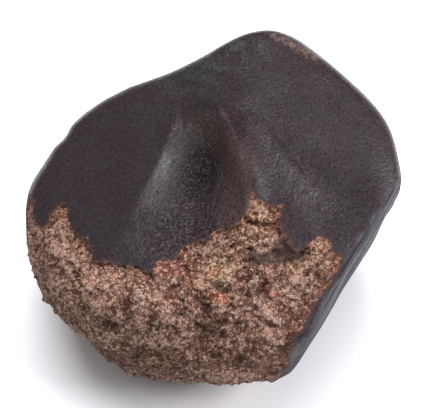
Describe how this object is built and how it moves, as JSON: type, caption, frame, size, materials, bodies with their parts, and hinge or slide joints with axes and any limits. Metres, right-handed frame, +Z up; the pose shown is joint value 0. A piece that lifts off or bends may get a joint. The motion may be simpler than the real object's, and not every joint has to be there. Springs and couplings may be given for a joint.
{
  "type": "stony meteorite",
  "caption": "Hand-sized stony meteorite with a dark fusion crust, a deep thumbprint hollow and one broken side that shows the granular brown stone inside.",
  "frame": {"origin": "on the surface that the stone rests on, below the middle of its bounding box", "axes": "+X along the stone's longest side, towards the picture's right; -Y towards the picture's viewer and the broken side; +Z up"},
  "size_m": [0.0796, 0.0753, 0.0531],
  "materials": {
    "stone": "satin, purple-brown to black fusion crust with fine wrinkles; the broken side is matt, granular and brown"
  },
  "bodies": {
    "root": {"stone": "stone"}
  },
  "joints": []
}
